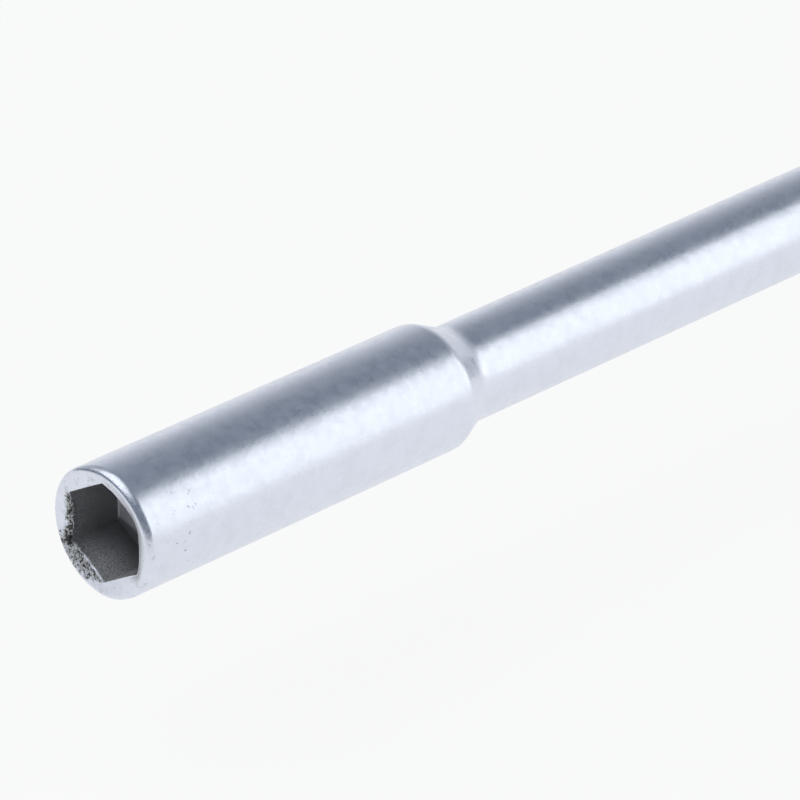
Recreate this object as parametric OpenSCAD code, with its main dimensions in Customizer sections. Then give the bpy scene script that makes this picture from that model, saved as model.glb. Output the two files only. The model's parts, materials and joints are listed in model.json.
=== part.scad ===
// Nut driver for 5.5 mm hexagon nuts. Millimetres, +Z up, lying flat.
// The origin is the centre of the socket mouth; the tool runs from there along +X to the handle.

/* [Socket head] */
// Hexagon across flats, with the working clearance on a 5.5 mm nut
hex_af = 5.55; // [5.5:0.01:5.7]
// Depth of the hexagon
hex_depth = 3.6; // [3:0.1:5]
// Least wall of the round head, at the corners of the hexagon
socket_wall = 0.845; // [0.7:0.005:1.2]
// Length of the straight part of the head, from the mouth to the shoulder
head_len = 25.4; // [20:0.2:32]
// Rounding of the outer edge of the mouth
rim_round = 0.4; // [0.2:0.05:0.5]
// Lead-in at the mouth, measured outward from the flats
lead_in = 0.2; // [0.1:0.02:0.35]
// Convex radius at the rear of the head
shoulder_out = 2.2; // [1.5:0.1:3]
// Concave radius running into the shaft
shoulder_in = 2; // [1.5:0.1:3]

/* [Shaft and tang] */
// Shaft diameter
shaft_d = 6.2; // [5.6:0.1:6.6]
// Visible blade, from the mouth to the nose of the handle
reach = 125; // [90:1:150]
// Length of the tang inside the handle
tang_len = 75; // [66:1:78]
// Width over the two pressed wings of the tang
wing_span = 11; // [9:0.5:13]
// Thickness of a wing
wing_thick = 2.6; // [2:0.1:3.2]
// Length of a wing with its ramps
wing_len = 20; // [14:1:24]
// Ramp at each end of a wing
wing_ramp = 4; // [3:0.5:6]
// Distance from the wings to the end of the tang
wing_tail = 6; // [4:0.5:10]
// Chamfer on the end of the tang
tang_chamfer = 0.6; // [0.3:0.1:1]

/* [Handle core] */
// Across flats of the flange and of the end cap, on which the tool lies
grip_af = 29; // [28.8:0.1:31]
// Height of the turned corners of flange and cap above the flats
corner_rise = 1.3; // [1:0.1:1.8]
// Nose diameter under the size ring
nose_d = 13; // [12:0.2:14.4]
// Length of the nose in front of the flange
nose_len = 7; // [6:0.5:9]
// Chamfer at the front of the nose
nose_chamfer = 0.6; // [0.3:0.1:1]
// Thickness of the anti-roll flange
flange_len = 7; // [6:0.5:9]
// Bevel around both faces of the flange
flange_bevel = 1.2; // [0.8:0.1:1.8]
// Diameter of the waist under the neck sleeve
waist_d = 17.2; // [16:0.2:18.4]
// Length of the waist
waist_len = 20; // [17:0.5:23]
// Length of the barrel
barrel_len = 52; // [50:1:60]
// Barrel diameter at the waist
barrel_front_d = 24.8; // [24.4:0.1:25.6]
// Largest barrel diameter
belly_d = 27.8; // [27:0.1:28]
// Barrel diameter at the end cap
barrel_rear_d = 26.4; // [26:0.1:27]
// Distance from the front of the barrel to its largest diameter
belly_at = 26; // [24:0.5:28]
// Rounding of the front edge of the barrel
barrel_round = 1.4; // [0.8:0.1:1.8]
// Diameter of the spigot that holds the end cap
spigot_d = 18; // [16:0.5:20]
// Length of the spigot
spigot_len = 10; // [9:0.5:11]
// Distance from the barrel to the snap bead on the spigot
bead_at = 6; // [5:0.5:7]
// Height of the snap bead
bead_h = 0.5; // [0.3:0.1:0.7]
// Width of the snap bead at its foot
bead_w = 2; // [1.6:0.1:2.4]

/* [Size ring] */
// Distance from the nose face to the ring
ring_setback = 1.2; // [1:0.1:2]
// Wall of the ring at the front
ring_front_wall = 1.2; // [1:0.1:1.6]
// Wall of the ring at the flange
ring_rear_wall = 2.3; // [1.8:0.1:2.8]

/* [Soft grip] */
// Wall of the neck sleeve at both ends
sleeve_end_wall = 3.2; // [2.6:0.1:3.6]
// Wall of the neck sleeve at the middle of its hollow
sleeve_mid_wall = 1.9; // [1.5:0.1:2.4]
// Grooves around the neck sleeve
sleeve_grooves = 4; // [3:1:5]
// Pitch of the grooves around the neck sleeve
sleeve_pitch = 3.2; // [3:0.1:3.6]
// Radius of every groove in the soft grip
groove_r = 0.8; // [0.6:0.05:0.9]
// Depth of every groove in the soft grip
groove_depth = 0.6; // [0.4:0.05:0.6]
// Width of a grip insert
insert_w = 8.4; // [7.6:0.1:9]
// Distance from the front of the barrel to the front of the inserts
insert_setback = 4; // [3:0.1:6]
// Distance from the rear of the inserts to the rear of the barrel
insert_tail = 3; // [2:0.1:6]
// Depth of the insert pockets under the largest barrel diameter
insert_depth = 3.1; // [2.6:0.1:3.6]
// Height by which the inserts stand out of the barrel
insert_proud = 0.35; // [0.2:0.05:0.4]
// Grooves across a grip insert
insert_grooves = 8; // [6:1:8]
// Pitch of the grooves across a grip insert
insert_pitch = 4.6; // [4.4:0.1:4.8]

/* [End cap] */
// Length over which the cap flares out from the barrel
cap_flare = 5; // [4:0.5:6]
// Rounding and bevel at the rear of the cap
cap_round = 3.6; // [2.6:0.1:3.9]
// Diameter of the hanging hole
hang_d = 6; // [5:0.1:6.4]
// Material between the spigot and the hanging hole
hang_web = 3.4; // [2:0.1:5]
// Material between the hanging hole and the end of the handle
hang_tail = 4.6; // [4:0.1:6]
// Chamfer at both ends of the hanging hole
hang_chamfer = 0.6; // [0.3:0.1:0.8]
// Diameter of the blank disc in the end of the cap
plug_d = 11; // [9:0.5:13]
// Thickness of the blank disc
plug_t = 1.8; // [1.4:0.1:2]
// Bevel around the outer face of the disc
plug_bevel = 0.4; // [0.2:0.1:0.6]

/* [Fits] */
// Gap between pieces that are pushed together
fit_gap = 0.05; // [0.02:0.01:0.1]

/* [Hidden] */
$fn = 96;
// overlap that keeps cutting shapes clear of the faces they open
over = 1;
arc_steps = 8;
inserts = 6;
hex_sides = 6;
turn = 360;
half_turn = turn / 2;
quarter = turn / 4;
groove_facets = 24;
flat_turn = turn / hex_sides / 2;
shaft_r = shaft_d / 2;
hex_r = hex_corner(hex_af / 2);
head_r = hex_r + socket_wall;
grip_r = hex_corner(grip_af / 2);
corner_r = grip_af / 2 + corner_rise;
shoulder_angle = acos(1 - (head_r - shaft_r) / (shoulder_out + shoulder_in));
shoulder_end = head_len + (shoulder_out + shoulder_in) * sin(shoulder_angle);
tang_end = reach + tang_len;
wing_end = tang_end - wing_tail;
wing_start = wing_end - wing_len;
flange_start = reach + nose_len;
flange_end = flange_start + flange_len;
barrel_start = flange_end + waist_len;
barrel_end = barrel_start + barrel_len;
belly_x = barrel_start + belly_at;
spigot_end = barrel_end + spigot_len;
bead_x = barrel_end + bead_at;
hang_x = spigot_end + hang_web + hang_d / 2;
handle_end = hang_x + hang_d / 2 + hang_tail;
insert_start = barrel_start + insert_setback;
insert_end = barrel_end - insert_tail;
insert_mid = (insert_start + insert_end) / 2;
insert_floor = belly_d / 2 - insert_depth;
sleeve_start = flange_end + fit_gap;
sleeve_end = barrel_start - fit_gap;
sleeve_mid = (sleeve_start + sleeve_end) / 2;

// distance from the axis to the corners of a hexagon, from the distance to its flats
function hex_corner(flat_r) = flat_r / cos(flat_turn);

// radius of the barrel at station x, raised by grow: a flat curve that is level at the belly
function barrel_r(x, grow) =
    let (end_d = x < belly_x ? barrel_front_d : barrel_rear_d)
    let (run = x < belly_x ? belly_at : barrel_len - belly_at)
    belly_d / 2 + grow - (belly_d - end_d) / 2 * pow((x - belly_x) / run, 2);

// radius of the hollow neck sleeve at station x
function sleeve_r(x) =
    let (part = (x - sleeve_mid) / (sleeve_end - sleeve_mid))
    waist_d / 2 + sleeve_mid_wall + (sleeve_end_wall - sleeve_mid_wall) * part * part;

// points of an arc about the profile point [radius, station]
function arc(radius, station, r, from, to) =
    [for (i = [0:arc_steps]) let (a = from + (to - from) * i / arc_steps)
        [radius + r * cos(a), station + r * sin(a)]];

// outline of the barrel between two stations, raised by grow
function barrel_outline(from, to, grow) =
    [for (i = [0:2 * arc_steps]) let (x = from + (to - from) * i / (2 * arc_steps))
        [barrel_r(x, grow), x]];

// turns shapes built along +Z so that they run along +X
module along_x() {
    rotate([0, quarter, 0])
        children();
}

// solid of revolution about the tool axis from [radius, station] points
module turned(points) {
    along_x()
        rotate_extrude()
            polygon(points);
}

// round bar about the tool axis
module bar(r, from, to) {
    along_x()
        translate([0, 0, from])
            cylinder(r = r, h = to - from);
}

// ring-shaped groove cutter about the tool axis
module groove(surface_r, x) {
    along_x()
        rotate_extrude()
            translate([surface_r + groove_r - groove_depth, x])
                circle(r = groove_r, $fn = groove_facets);
}

// hexagonal bar with flats above and below that narrows at each end, by [length, fall of the flats]
module flat_hex(from, to, front, rear) {
    along_x()
        rotate([0, 0, flat_turn]) {
            translate([0, 0, from])
                cylinder(r1 = hex_corner(grip_af / 2 - front[1]), r2 = grip_r, h = front[0],
                    $fn = hex_sides);
            translate([0, 0, from + front[0]])
                cylinder(r = grip_r, h = to - from - front[0] - rear[0], $fn = hex_sides);
            translate([0, 0, to - rear[0]])
                cylinder(r1 = grip_r, r2 = hex_corner(grip_af / 2 - rear[1]), h = rear[0],
                    $fn = hex_sides);
        }
}

// the part of the blade that the handle is moulded on
module tang() {
    turned([[0, reach - over], [shaft_r, reach - over], [shaft_r, tang_end - tang_chamfer],
        [shaft_r - tang_chamfer, tang_end], [0, tang_end]]);
    translate([0, 0, -wing_thick / 2])
        linear_extrude(wing_thick)
            polygon([[wing_start, 0], [wing_start + wing_ramp, wing_span / 2],
                [wing_end - wing_ramp, wing_span / 2], [wing_end, 0],
                [wing_end - wing_ramp, -wing_span / 2], [wing_start + wing_ramp, -wing_span / 2]]);
}

// six-sided socket with its lead-in
module socket_cut() {
    along_x()
        translate([0, 0, -over])
            cylinder(r = hex_r, h = hex_depth + over, $fn = hex_sides);
    along_x()
        translate([0, 0, -over])
            cylinder(r1 = hex_af / 2 + lead_in + over, r2 = hex_af / 2, h = lead_in + over);
}

module blade() {
    color([0.80, 0.81, 0.84])
        difference() {
            union() {
                turned(concat([[0, 0]],
                    arc(head_r - rim_round, rim_round, rim_round, -quarter, 0),
                    arc(head_r - shoulder_out, head_len, shoulder_out, 0, shoulder_angle),
                    arc(shaft_r + shoulder_in, shoulder_end, shoulder_in, half_turn + shoulder_angle,
                        half_turn),
                    [[shaft_r, reach], [0, reach]]));
                tang();
            }
            socket_cut();
        }
}

module handle_core() {
    color([0.10, 0.14, 0.20])
        difference() {
            union() {
                turned(concat([[0, reach], [nose_d / 2 - nose_chamfer, reach],
                    [nose_d / 2, reach + nose_chamfer], [nose_d / 2, flange_start + over],
                    [waist_d / 2, flange_start + over], [waist_d / 2, barrel_start]],
                    arc(barrel_r(barrel_start + barrel_round, 0) - barrel_round, barrel_start + barrel_round,
                        barrel_round, -quarter, 0),
                    barrel_outline(barrel_start + barrel_round, barrel_end, 0),
                    [[spigot_d / 2, barrel_end], [spigot_d / 2, bead_x - bead_w / 2],
                    [spigot_d / 2 + bead_h, bead_x], [spigot_d / 2, bead_x + bead_w / 2],
                    [spigot_d / 2, spigot_end], [0, spigot_end]]));
                intersection() {
                    turned(concat([[0, flange_start]],
                        arc(corner_r - flange_bevel, flange_start + flange_bevel, flange_bevel, -quarter, 0),
                        arc(corner_r - flange_bevel, flange_end - flange_bevel, flange_bevel, 0, quarter),
                        [[0, flange_end]]));
                    flat_hex(flange_start, flange_end, [flange_bevel, flange_bevel],
                        [flange_bevel, flange_bevel]);
                }
            }
            tang();
            for (i = [0:inserts - 1])
                rotate([i * turn / inserts, 0, 0])
                    insert_block();
        }
}

module size_ring() {
    color([0.55, 0.57, 0.60])
        difference() {
            turned([[0, reach + ring_setback], [nose_d / 2 + ring_front_wall, reach + ring_setback],
                [nose_d / 2 + ring_rear_wall, flange_start - fit_gap], [0, flange_start - fit_gap]]);
            bar(nose_d / 2 + fit_gap, reach, flange_start + over);
        }
}

module neck_sleeve() {
    color([0.05, 0.05, 0.055])
        difference() {
            turned(concat([[0, sleeve_start]],
                [for (i = [0:2 * arc_steps])
                    let (x = sleeve_start + (sleeve_end - sleeve_start) * i / (2 * arc_steps))
                    [sleeve_r(x), x]],
                [[0, sleeve_end]]));
            bar(waist_d / 2, sleeve_start - over, sleeve_end + over);
            for (i = [0:sleeve_grooves - 1]) {
                x = sleeve_mid + (i - (sleeve_grooves - 1) / 2) * sleeve_pitch;
                groove(sleeve_r(x), x);
            }
        }
}

// long round-ended block that fills one pocket of the barrel and reaches past its surface
module insert_block() {
    translate([0, 0, insert_floor])
        linear_extrude(belly_d / 2)
            union() {
                translate([insert_start + insert_w / 2, -insert_w / 2])
                    square([insert_end - insert_start - insert_w, insert_w]);
                translate([insert_start + insert_w / 2, 0])
                    circle(d = insert_w);
                translate([insert_end - insert_w / 2, 0])
                    circle(d = insert_w);
            }
}

module grip_insert(i) {
    color([0.04, 0.04, 0.045])
        rotate([i * turn / inserts, 0, 0])
            difference() {
                intersection() {
                    insert_block();
                    turned(concat([[0, barrel_start]],
                        barrel_outline(barrel_start, barrel_end, insert_proud),
                        [[0, barrel_end]]));
                }
                for (k = [0:insert_grooves - 1]) {
                    x = insert_mid + (k - (insert_grooves - 1) / 2) * insert_pitch;
                    groove(barrel_r(x, insert_proud), x);
                }
            }
}

module end_cap() {
    color([0.10, 0.14, 0.20])
        difference() {
            intersection() {
                turned(concat([[0, barrel_end + fit_gap], [barrel_rear_d / 2, barrel_end + fit_gap],
                    [corner_r, barrel_end + cap_flare]],
                    arc(corner_r - cap_round, handle_end - cap_round, cap_round, 0, quarter),
                    [[0, handle_end]]));
                flat_hex(barrel_end, handle_end, [cap_flare, (grip_af - barrel_rear_d) / 2],
                    [cap_round, cap_round]);
            }
            turned([[0, barrel_end - over], [spigot_d / 2 + fit_gap, barrel_end - over],
                [spigot_d / 2 + fit_gap, bead_x - bead_w / 2], [spigot_d / 2 + bead_h + fit_gap, bead_x],
                [spigot_d / 2 + fit_gap, bead_x + bead_w / 2],
                [spigot_d / 2 + fit_gap, spigot_end + fit_gap], [0, spigot_end + fit_gap]]);
            bar(plug_d / 2 + fit_gap, handle_end - plug_t - fit_gap, handle_end + over);
            translate([hang_x, 0, 0]) {
                cylinder(d = hang_d, h = 4 * corner_r, center = true);
                for (side = [0, half_turn])
                    rotate([side, 0, 0])
                        translate([0, 0, grip_af / 2 - hang_chamfer])
                            cylinder(r1 = hang_d / 2, r2 = hang_d / 2 + hang_chamfer + over,
                                h = hang_chamfer + over);
            }
        }
}

module cap_plug() {
    color([0.55, 0.57, 0.60])
        turned([[0, handle_end - plug_t], [plug_d / 2, handle_end - plug_t],
            [plug_d / 2, handle_end - plug_bevel], [plug_d / 2 - plug_bevel, handle_end], [0, handle_end]]);
}

blade();
handle_core();
size_ring();
neck_sleeve();
grip_insert(0);  // grip_insert_1
grip_insert(1);  // grip_insert_2
grip_insert(2);  // grip_insert_3
grip_insert(3);  // grip_insert_4
grip_insert(4);  // grip_insert_5
grip_insert(5);  // grip_insert_6
end_cap();
cap_plug();
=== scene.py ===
import json
import math
from functools import cached_property
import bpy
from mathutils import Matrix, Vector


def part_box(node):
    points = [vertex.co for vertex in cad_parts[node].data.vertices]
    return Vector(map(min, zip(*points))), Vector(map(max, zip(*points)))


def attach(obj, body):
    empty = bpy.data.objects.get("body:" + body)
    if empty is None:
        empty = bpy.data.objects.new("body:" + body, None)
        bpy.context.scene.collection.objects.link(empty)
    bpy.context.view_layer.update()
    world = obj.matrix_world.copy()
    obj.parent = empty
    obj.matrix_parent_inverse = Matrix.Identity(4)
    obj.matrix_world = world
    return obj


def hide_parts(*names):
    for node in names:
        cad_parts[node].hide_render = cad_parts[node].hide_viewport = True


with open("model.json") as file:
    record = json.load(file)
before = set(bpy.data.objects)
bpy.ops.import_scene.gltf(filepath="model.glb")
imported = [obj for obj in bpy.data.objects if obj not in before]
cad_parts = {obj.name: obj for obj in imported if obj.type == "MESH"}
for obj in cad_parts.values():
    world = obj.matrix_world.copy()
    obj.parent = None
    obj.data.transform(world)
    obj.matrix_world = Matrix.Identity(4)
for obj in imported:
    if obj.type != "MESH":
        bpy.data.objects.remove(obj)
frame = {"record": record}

from types import SimpleNamespace

import bmesh
import bpy
import numpy as np
from bpy.props import FloatProperty, FloatVectorProperty, IntProperty, PointerProperty
from mathutils import Vector, noise

bl_info = {
    "name": "Nut Driver",
    "version": (1, 0, 0),
    "blender": (4, 5, 0),
    "location": "View3D > Sidebar > Nut Driver",
    "description": "Builds the visible pieces of a nut driver around its packed solids",
    "category": "Object",
}

MM = 0.001
HEX = math.radians(60)
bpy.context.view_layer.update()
MOUNTS = {mount["name"]: mount for mount in frame["record"]["mounts"]}


def at_mm(node):
    """Lowest and highest corner of a CAD node, in millimetres."""
    low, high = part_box(node)
    return [c / MM for c in low], [c / MM for c in high]


BLADE_LOW, BLADE_HIGH = at_mm("blade")
CORE_LOW, CORE_HIGH = at_mm("handle_core")
RING_LOW, RING_HIGH = at_mm("size_ring")
SLEEVE_LOW, SLEEVE_HIGH = at_mm("neck_sleeve")
INSERT_LOW, INSERT_HIGH = at_mm("grip_insert_1")
CAP_LOW, CAP_HIGH = at_mm("end_cap")
PLUG_LOW, PLUG_HIGH = at_mm("cap_plug")
FLOOR_MM = CAP_LOW[2]
HANG_X = MOUNTS["hang_hole"]["pos_m"][0] / MM

# Softened edges, dish of the cap disc, and rings beside a pole, in millimetres
FINE_ROUND = 0.3
FLANGE_SOFT = 0.4
CAP_SOFT = 0.6
DISC_DISH = 0.22
POLE_R = 2.0
DISC_POLE_R = 0.4
# Softening of corners as a share of the drop of their flats, which counts up to a most
CORNER_SOFT = 0.35
MOST_DROP = 1.3
# Rows across half a rib that is ROWS_HALF wide, and the least radius they follow
RIB_ROWS = (0.0, 1.5, 2.6, 3.1, 3.45, 3.7, 3.9, 4.05, 4.2, 4.35)
ROWS_HALF = 4.2
ROWS_R = 10.5
# Steps around the cap and its hole, and along neck grip, rib and bend of a rib
CAP_STEPS = 240
HOLE_STEPS = 72
NECK_STEPS = 118
RIB_STEPS = 170
BEND_STEPS = 21

# Zones round the mouth in degrees from straight up towards +Y, each as start, end and fade
FLAKED_NEAR = (58, 124, 8)
FLAKED_FAR = (114, 183, 8)
FLAKED_WIDE = (70, 104, 16)
BURRED = (137, 182, 8)
POLISHED = (232, 362, 20)
WORN_MOST = (280, 320, 18)
DULL_LIP = (215, 335, 25)
ROUNDED_CORNER = (268, 332, 24)
EASED_CORNER = (226, 256, 10)
# Degrees over which the rim turns smooth or crisp, and the flakes reach out or draw back
SMOOTH_FROM = (185, 235)
SMOOTH_TO = (5, 40)
REACH_FROM = (98, 122)
REACH_TO = (132, 186)
NOTCH_AT = 118
NOTCH_WIDTH = 4.0
# Radii of the flakes' reach and of the inner edge of the face, in millimetres
FLAKES_R = 3.4
FACE_R = 2.9
# Heights and depths on the blade, in millimetres
BURR_HEIGHT = 0.065
NOTCH_DEPTH = 0.2
DIP_DEPTH = 0.05
EXTRA_WEAR = 0.08
FLOOR_LIP = 0.02
TANG_CHAMFER = 0.6
# Turn at which the rim's tight rounding runs into the broad one
RIM_MEET = math.radians(46)
# Rings of the tang: millimetres before its end, and share of the wings
TANG_RINGS = ((26, 0.0), (22, 1.0), (10, 1.0), (6, 0.0))

# Heights in the plating and the steel under it, in millimetres
GRAIN_HEIGHT = 0.006
PEEL_HEIGHT = 0.005
PIT_DEPTH = 0.01
NICK_DEPTH = 0.0025
GRIT_HEIGHT = 0.04
CHIP_DEPTH = 0.06
# Middle of the scuffed spot, and depths where the socket's walls fade into its floor
SCUFF_AT = (3.2, -4.0, 0.5)
FLOOR_FADE = (3.7, 3.81)
# Colour of the painted light on the socket's lower wall, then colours of chips, smudges and pits
LIT_WALL_STEEL = (0.74, 0.74, 0.73)
CHIP_BLACK = (0.035, 0.035, 0.033)
SMUDGE_GREY = (0.4, 0.4, 0.42)
PIT_GREY = (0.2, 0.2, 0.22)

# Half width of the floor and aim of the lamps, in metres, and the way to the pale wall
FLOOR_HALF = 4.0
LAMP_AIM = (0.02, 0, 0)
WALL_TOWARD = (0.78, 0.62, 0.0)


def length(name, description, mm):
    """A length property whose default is given in millimetres."""
    return FloatProperty(name=name, description=description, default=mm * MM, unit="LENGTH", precision=5)


def colour(name, thing, rgb):
    """A property for the colour of a thing."""
    return FloatVectorProperty(name=name, description=f"Colour of {thing}", default=rgb, subtype="COLOR",
                               size=3, min=0.0, max=1.0)


def number(name, description, default, least):
    """A count property."""
    return IntProperty(name=name, description=description, default=default, min=least)


class BladeSizes(bpy.types.PropertyGroup):
    """Sizes and colours of the blade."""

    hex_af: length("Across flats", "Distance between two flats of the socket", 5.55)
    hex_depth: length("Socket depth", "Depth of the six-sided socket", 3.85)
    head_r: length("Head radius", "Outside radius of the socket head", MOUNTS["socket_head"]["dims"]["r_mm"])
    head_len: length("Head length", "Length of the head up to the shoulder", 25.92)
    rim_round: length("Rim rounding", "Broad rounding of the worn outer edge of the mouth", 0.6)
    rim_edge: length("Rim edge", "Tight rounding of the worn outer edge of the mouth", 0.3)
    rim_low: length("Rim wear", "Wear of the face on the smooth side", 0.1)
    rim_crisp: length("Crisp rim", "Rounding of the outer edge where the plating has flaked", 0.22)
    rim_dish: length("Rim dish", "Depth of the slope in to the socket", 0.24)
    worn: length("Worn flats", "Wear of the flats on the smooth side", 0.16)
    shoulder_len: length("Shoulder length", "Length of the cone between head and shaft", 2.04)
    shoulder_out: length("Shoulder out", "Rounding at the rear edge of the head", 1.3)
    shoulder_in: length("Shoulder in", "Rounding where the cone runs into the shaft", 2.6)
    shaft_r: length("Shaft radius", "Radius of the shaft", 3.1)
    wing_span: length("Wing span", "Width over the wings of the tang", BLADE_HIGH[1] - BLADE_LOW[1])
    wing_thick: length("Wing thickness", "Thickness of the wings of the tang", 2.6)
    plating: colour("Plating", "the satin plating", (0.75, 0.785, 0.875))
    bare: colour("Bare steel", "the steel where the plating has flaked", (0.56, 0.55, 0.49))
    broached: colour("Broached steel", "the steel inside the socket", (0.35, 0.35, 0.35))
    floor: colour("Socket floor", "the drilled floor of the socket", (0.88, 0.86, 0.88))
    segments: number("Segments", "Steps around the blade", 768, 96)


class HandleSizes(bpy.types.PropertyGroup):
    """Sizes and colours of the hard handle, its size band and its cap."""

    fit: length("Fit", "Gap between pieces that are pushed together", 0.05)
    nose_r: length("Nose radius", "Radius of the nose under the size band", 6.5)
    flat_r: length("Flat height", "Height of the flats of flange and cap over the axis", CORE_HIGH[2])
    corner_r: length("Corner radius", "Radius of the turned corners of flange and cap", CORE_HIGH[1])
    flange_round: length("Flange rounding", "Rounding and bevel around both faces of the flange", 1.2)
    waist_r: length("Waist radius", "Radius of the waist under the neck grip", 8.6)
    barrel_front_r: length("Barrel front", "Barrel radius at the waist", 12.4)
    belly_r: length("Belly", "Largest barrel radius", 13.9)
    barrel_rear_r: length("Barrel rear", "Barrel radius at the cap", 13.2)
    belly_at: length("Belly place", "Distance from the front of the barrel to its belly", 26.0)
    barrel_round: length("Barrel rounding", "Rounding of the front edge of the barrel", 1.4)
    pocket: length("Pocket depth", "Depth of the pockets under the grip ribs", 1.6)
    spigot_r: length("Spigot radius", "Radius of the spigot in the cap", 9.0)
    band_front_r: length("Band front", "Radius of the size band at the front", 7.7)
    cap_flare: length("Cap flare", "Length over which the cap flares out", 5.0)
    cap_round: length("Cap rounding", "Rounding and bevel at the rear of the cap", 3.6)
    hang_r: length("Hanging hole", "Radius of the hanging hole", 3.0)
    hang_flare: length("Hole flare", "Rounding at both ends of the hanging hole", 0.6)
    body: colour("Body", "the hard body", (0.062, 0.088, 0.13))
    body_worn: colour("Worn body", "the body where corners are rubbed", (0.15, 0.185, 0.24))
    band: colour("Band", "the size band and the cap disc", (0.42, 0.44, 0.47))
    segments: number("Segments", "Steps around the turned pieces", 144, 48)


class GripSizes(bpy.types.PropertyGroup):
    """Sizes and colours of the soft grip."""

    end_wall: length("End wall", "Wall of the neck grip at both ends", 3.2)
    mid_wall: length("Middle wall", "Wall of the neck grip at its hollow", 1.9)
    neck_grooves: number("Neck grooves", "Grooves around the neck grip", 4, 0)
    neck_pitch: length("Neck pitch", "Pitch of the grooves around the neck grip", 3.2)
    rib_grooves: number("Rib grooves", "Grooves across a grip rib", 8, 0)
    rib_pitch: length("Rib pitch", "Pitch of the grooves across a grip rib", 4.6)
    proud: length("Proud", "Height of the ribs over the barrel", 0.35)
    groove_r: length("Groove radius", "Radius of every groove", 0.8)
    groove_depth: length("Groove depth", "Depth of every groove", 0.6)
    edge_round: length("End rounding", "Rounding at both ends of the neck grip", 0.6)
    rib_round: length("Rib rounding", "Rounding along the edges of the ribs", 0.28)
    rubber: colour("Rubber", "the soft grip", (0.030, 0.030, 0.032))
    dust: colour("Dust", "the dust in the grooves", (0.085, 0.082, 0.078))


class StageSizes(bpy.types.PropertyGroup):
    """Camera, floor and room."""

    camera_at: FloatVectorProperty(name="Camera", description="Where the camera stands", subtype="XYZ",
                                   unit="LENGTH", default=(-0.179008, -0.208935, 0.152408))
    azimuth: FloatProperty(name="Azimuth", description="Turn of the camera round the part",
                           subtype="ANGLE", default=math.radians(-44.141))
    elevation: FloatProperty(name="Elevation", description="Height of the camera over the horizon",
                             subtype="ANGLE", default=math.radians(27.636))
    lens: FloatProperty(name="Lens", description="Focal length in millimetres", default=248.4)
    floor: colour("Floor", "the pale floor", (0.95, 0.95, 0.95))
    room: colour("Room", "the grey room around the lamps", (0.189, 0.221, 0.268))
    wall: colour("Wall", "the pale wall behind the part", (0.97, 0.98, 1.0))


class Sock:
    """A value in a shader expression: arithmetic on it adds Math nodes to its tree."""

    def __init__(self, paint, socket):
        self.paint = paint
        self.socket = socket

    def math(self, operation, *values):
        """The result of a Math node."""
        return self.paint.node("ShaderNodeMath", {"operation": operation}, dict(enumerate(values)))

    def __add__(self, other):
        return self.math("ADD", self, other)

    __radd__ = __add__

    def __sub__(self, other):
        return self.math("SUBTRACT", self, other)

    def __rsub__(self, other):
        return self.math("SUBTRACT", other, self)

    def __mul__(self, other):
        return self.math("MULTIPLY", self, other)

    __rmul__ = __mul__

    def smooth(self, low, high):
        """0 below low, 1 above high, and a smooth step between them."""
        return self.paint.node("ShaderNodeMapRange", {"interpolation_type": "SMOOTHSTEP"},
                               {"Value": self, "From Min": low, "From Max": high})

    def part(self, name):
        """Another output of the same node."""
        return Sock(self.paint, found(self.socket.node.outputs, name))


def found(sockets, key):
    """The socket with that place, identifier or name."""
    if isinstance(key, int):
        return sockets[key]
    for socket in sockets:
        if socket.identifier == key:
            return socket
    for socket in sockets:
        if socket.name == key and socket.enabled:
            return socket
    raise KeyError(key)


class Paint:
    """A node tree being built."""

    def __init__(self, tree):
        self.tree = tree
        self.tree.nodes.clear()

    def node(self, kind, settings=None, sockets=None, out=None):
        """Adds a node, with its settings set first, and returns its output."""
        made = self.tree.nodes.new(kind)
        for name, value in (settings or {}).items():
            setattr(made, name, value)
        for key, value in (sockets or {}).items():
            socket = found(made.inputs, key)
            if isinstance(value, Sock):
                self.tree.links.new(value.socket, socket)
            elif socket.type == "RGBA" and len(value) == 3:
                socket.default_value = (*value, 1.0)
            else:
                socket.default_value = value
        if not made.outputs:
            return None
        return Sock(self, found(made.outputs, out) if out else next(s for s in made.outputs if s.enabled))

    @cached_property
    def place(self):
        """The place on the piece, in millimetres."""
        metres = self.node("ShaderNodeTexCoord", out="Object")
        return self.node("ShaderNodeVectorMath", {"operation": "SCALE"}, {0: metres, "Scale": 1 / MM})

    def noise(self, scale, detail, rough=0.5, factors=None):
        """Fractal noise, 0 to 1, at a scale of grains to a millimetre, times a factor along each axis."""
        place = self.place
        if factors:
            place = self.node("ShaderNodeVectorMath", {"operation": "MULTIPLY"}, {0: place, 1: factors})
        return self.node("ShaderNodeTexNoise", {},
                         {"Vector": place, "Scale": scale, "Detail": detail, "Roughness": rough})

    def mix(self, share, first, second):
        """A colour between two colours."""
        return self.node("ShaderNodeMix", {"data_type": "RGBA"},
                         {"Factor_Float": share, "A_Color": first, "B_Color": second}, "Result_Color")

    def attribute(self, name):
        """A value that the mesh holds for each point."""
        return self.node("ShaderNodeAttribute", {"attribute_name": name}, out="Fac")

    def bump(self, height):
        """A normal from a height in millimetres."""
        return self.node("ShaderNodeBump", {}, {"Height": height, "Distance": MM, "Strength": 1.0})

    def surface(self, sockets):
        """Ends the tree with one shader."""
        shader = self.node("ShaderNodeBsdfPrincipled", {}, sockets)
        self.node("ShaderNodeOutputMaterial", {}, {"Surface": shader})


def new_paint(name):
    """A new material and the tree that paints it."""
    material = bpy.data.materials.new(name)
    material.use_nodes = True
    return material, Paint(material.node_tree)


def scaled(rgb, factor):
    """A colour times a factor."""
    return [c * factor for c in rgb]


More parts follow.
